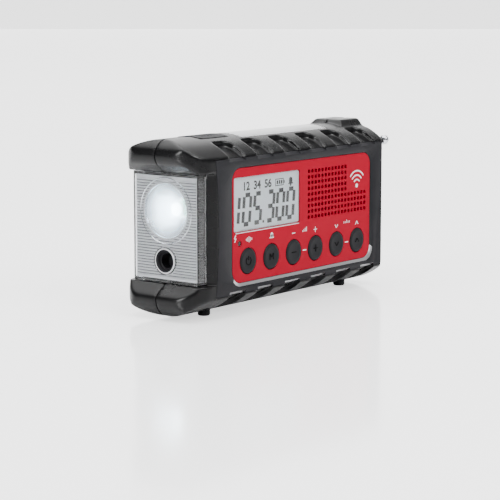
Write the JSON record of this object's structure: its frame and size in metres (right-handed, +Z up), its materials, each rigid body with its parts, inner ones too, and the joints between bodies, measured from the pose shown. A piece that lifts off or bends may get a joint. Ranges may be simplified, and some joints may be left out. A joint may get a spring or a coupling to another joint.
{
  "type": "emergency radio",
  "caption": "Crank-powered emergency radio with a ribbed case, red front panel, display, keys, speaker, end flashlight, top solar cells and telescoping antenna.",
  "frame": {"origin": "centre of the footprint, on the surface that the feet stand on", "axes": "+X towards the antenna end, -X towards the flashlight end, -Y towards the front panel, +Z up"},
  "size_m": [0.1894, 0.054, 0.1001],
  "materials": {
    "armour": "semi-gloss black moulded plastic",
    "bezel": "satin dark grey moulded plastic",
    "panel": "satin red moulded plastic",
    "rubber": "dark grey silicone rubber",
    "clear": "clear polished plastic",
    "screen": "pale grey display glass",
    "silver": "bright plated metal",
    "steel": "plain bright steel",
    "board": "green circuit board",
    "cells": "dark blue solar cell",
    "gear": "natural nylon",
    "cone": "black speaker cone",
    "battery": "printed cell sleeve"
  },
  "bodies": {
    "case": {"front_shell": "armour", "rear_shell": "armour", "front_bezel": "bezel", "control_panel": "panel", "lcd_window": "clear", "lcd_module": "screen", "main_board": "board", "charge_lamp": "clear", "speaker_frame": "steel", "speaker_cone": "cone", "speaker_magnet": "steel", "flashlight_lens": "clear", "reflector_plate": "silver", "reflector_cup": "silver", "led_board": "board", "sounder": "rubber", "solar_cover": "clear", "solar_cells": "cells", "generator": "steel", "gear_frame": "steel", "lithium_pack": "battery", "aa_cell_1": "battery", "aa_cell_2": "battery", "aa_cell_3": "battery", "usb_socket": "steel", "micro_usb_socket": "steel", "earphone_jack": "steel", "foot_1": "rubber", "foot_2": "rubber", "foot_3": "rubber", "foot_4": "rubber", "screw_1": "steel", "screw_2": "steel", "screw_3": "steel", "screw_4": "steel", "antenna_base": "armour"},
    "key_power": {"key_power": "rubber"},
    "key_menu": {"key_menu": "rubber"},
    "key_minus": {"key_minus": "rubber"},
    "key_plus": {"key_plus": "rubber"},
    "key_down": {"key_down": "rubber"},
    "key_up": {"key_up": "rubber"},
    "light_button": {"light_button": "rubber"},
    "crank": {"crank_hub": "armour", "crank_pin": "steel", "crank_gear": "gear"},
    "crank_arm": {"crank_arm": "armour"},
    "crank_knob": {"crank_knob": "rubber"},
    "idler": {"idler_gear": "gear"},
    "pinion": {"generator_pinion": "steel"},
    "antenna_knuckle": {"antenna_knuckle": "steel"},
    "antenna_section_1": {"antenna_section_1": "silver"},
    "antenna_section_2": {"antenna_section_2": "silver"},
    "antenna_section_3": {"antenna_section_3": "silver"},
    "antenna_section_4": {"antenna_section_4": "silver"},
    "antenna_section_5": {"antenna_section_5": "silver"},
    "antenna_section_6": {"antenna_section_6": "silver"},
    "battery_door": {"battery_door": "armour"},
    "port_cover": {"port_cover": "rubber"}
  },
  "joints": [
    {"name": "key_power_press", "type": "slide", "parent": "case", "child": "key_power", "axis": [0, 1, 0], "range_m": [0, 0.0008], "stiffness_N_per_m": 900},
    {"name": "key_menu_press", "type": "slide", "parent": "case", "child": "key_menu", "axis": [0, 1, 0], "range_m": [0, 0.0008], "stiffness_N_per_m": 900},
    {"name": "key_minus_press", "type": "slide", "parent": "case", "child": "key_minus", "axis": [0, 1, 0], "range_m": [0, 0.0008], "stiffness_N_per_m": 900},
    {"name": "key_plus_press", "type": "slide", "parent": "case", "child": "key_plus", "axis": [0, 1, 0], "range_m": [0, 0.0008], "stiffness_N_per_m": 900},
    {"name": "key_down_press", "type": "slide", "parent": "case", "child": "key_down", "axis": [0, 1, 0], "range_m": [0, 0.0008], "stiffness_N_per_m": 900},
    {"name": "key_up_press", "type": "slide", "parent": "case", "child": "key_up", "axis": [0, 1, 0], "range_m": [0, 0.0008], "stiffness_N_per_m": 900},
    {"name": "light_button_press", "type": "slide", "parent": "case", "child": "light_button", "axis": [0, 0, -1], "range_m": [0, 0.0008], "stiffness_N_per_m": 1500},
    {"name": "crank_turn", "type": "hinge", "parent": "case", "child": "crank", "pos_m": [0.04135, 0.02, 0.0496], "axis": [0, 1, 0], "continuous": true},
    {"name": "crank_fold", "type": "hinge", "parent": "crank", "child": "crank_arm", "pos_m": [0.03335, 0.0238, 0.0496], "axis": [0, 0, 1], "range_deg": [0, 160]},
    {"name": "knob_spin", "type": "hinge", "parent": "crank_arm", "child": "crank_knob", "pos_m": [0.06535, 0.017, 0.0496], "axis": [0, 1, 0], "continuous": true},
    {"name": "idler_spin", "type": "hinge", "parent": "case", "child": "idler", "pos_m": [0.02438, 0.004, 0.03263], "axis": [0, 1, 0], "continuous": true},
    {"name": "pinion_spin", "type": "hinge", "parent": "case", "child": "pinion", "pos_m": [0.00438, 0.002, 0.03263], "axis": [0, 1, 0], "continuous": true},
    {"name": "antenna_swing", "type": "hinge", "parent": "case", "child": "antenna_knuckle", "pos_m": [0.085, 0.019, 0.0869], "axis": [-1, 0, 0], "range_deg": [0, 180]},
    {"name": "antenna_tilt", "type": "hinge", "parent": "antenna_knuckle", "child": "antenna_section_1", "pos_m": [0.09165, 0.019, 0.0869], "axis": [0, 0, 1], "range_deg": [0, 90]},
    {"name": "antenna_draw_1", "type": "slide", "parent": "antenna_section_1", "child": "antenna_section_2", "axis": [0, -1, 0], "range_m": [0, 0.023]},
    {"name": "antenna_draw_2", "type": "slide", "parent": "antenna_section_2", "child": "antenna_section_3", "axis": [0, -1, 0], "range_m": [0, 0.023]},
    {"name": "antenna_draw_3", "type": "slide", "parent": "antenna_section_3", "child": "antenna_section_4", "axis": [0, -1, 0], "range_m": [0, 0.023]},
    {"name": "antenna_draw_4", "type": "slide", "parent": "antenna_section_4", "child": "antenna_section_5", "axis": [0, -1, 0], "range_m": [0, 0.023]},
    {"name": "antenna_draw_5", "type": "slide", "parent": "antenna_section_5", "child": "antenna_section_6", "axis": [0, -1, 0], "range_m": [0, 0.023]},
    {"name": "battery_door_lift", "type": "slide", "parent": "case", "child": "battery_door", "axis": [0, 1, 0], "range_m": [0, 0.03]},
    {"name": "port_cover_hinge", "type": "hinge", "parent": "case", "child": "port_cover", "pos_m": [0.08385, -0.017, 0.0336], "axis": [0, 0, -1], "range_deg": [0, 110]}
  ],
  "couplings": [
    {"joint": "idler_spin", "follows": "crank_turn", "ratio": -3},
    {"joint": "pinion_spin", "follows": "crank_turn", "ratio": 9}
  ]
}
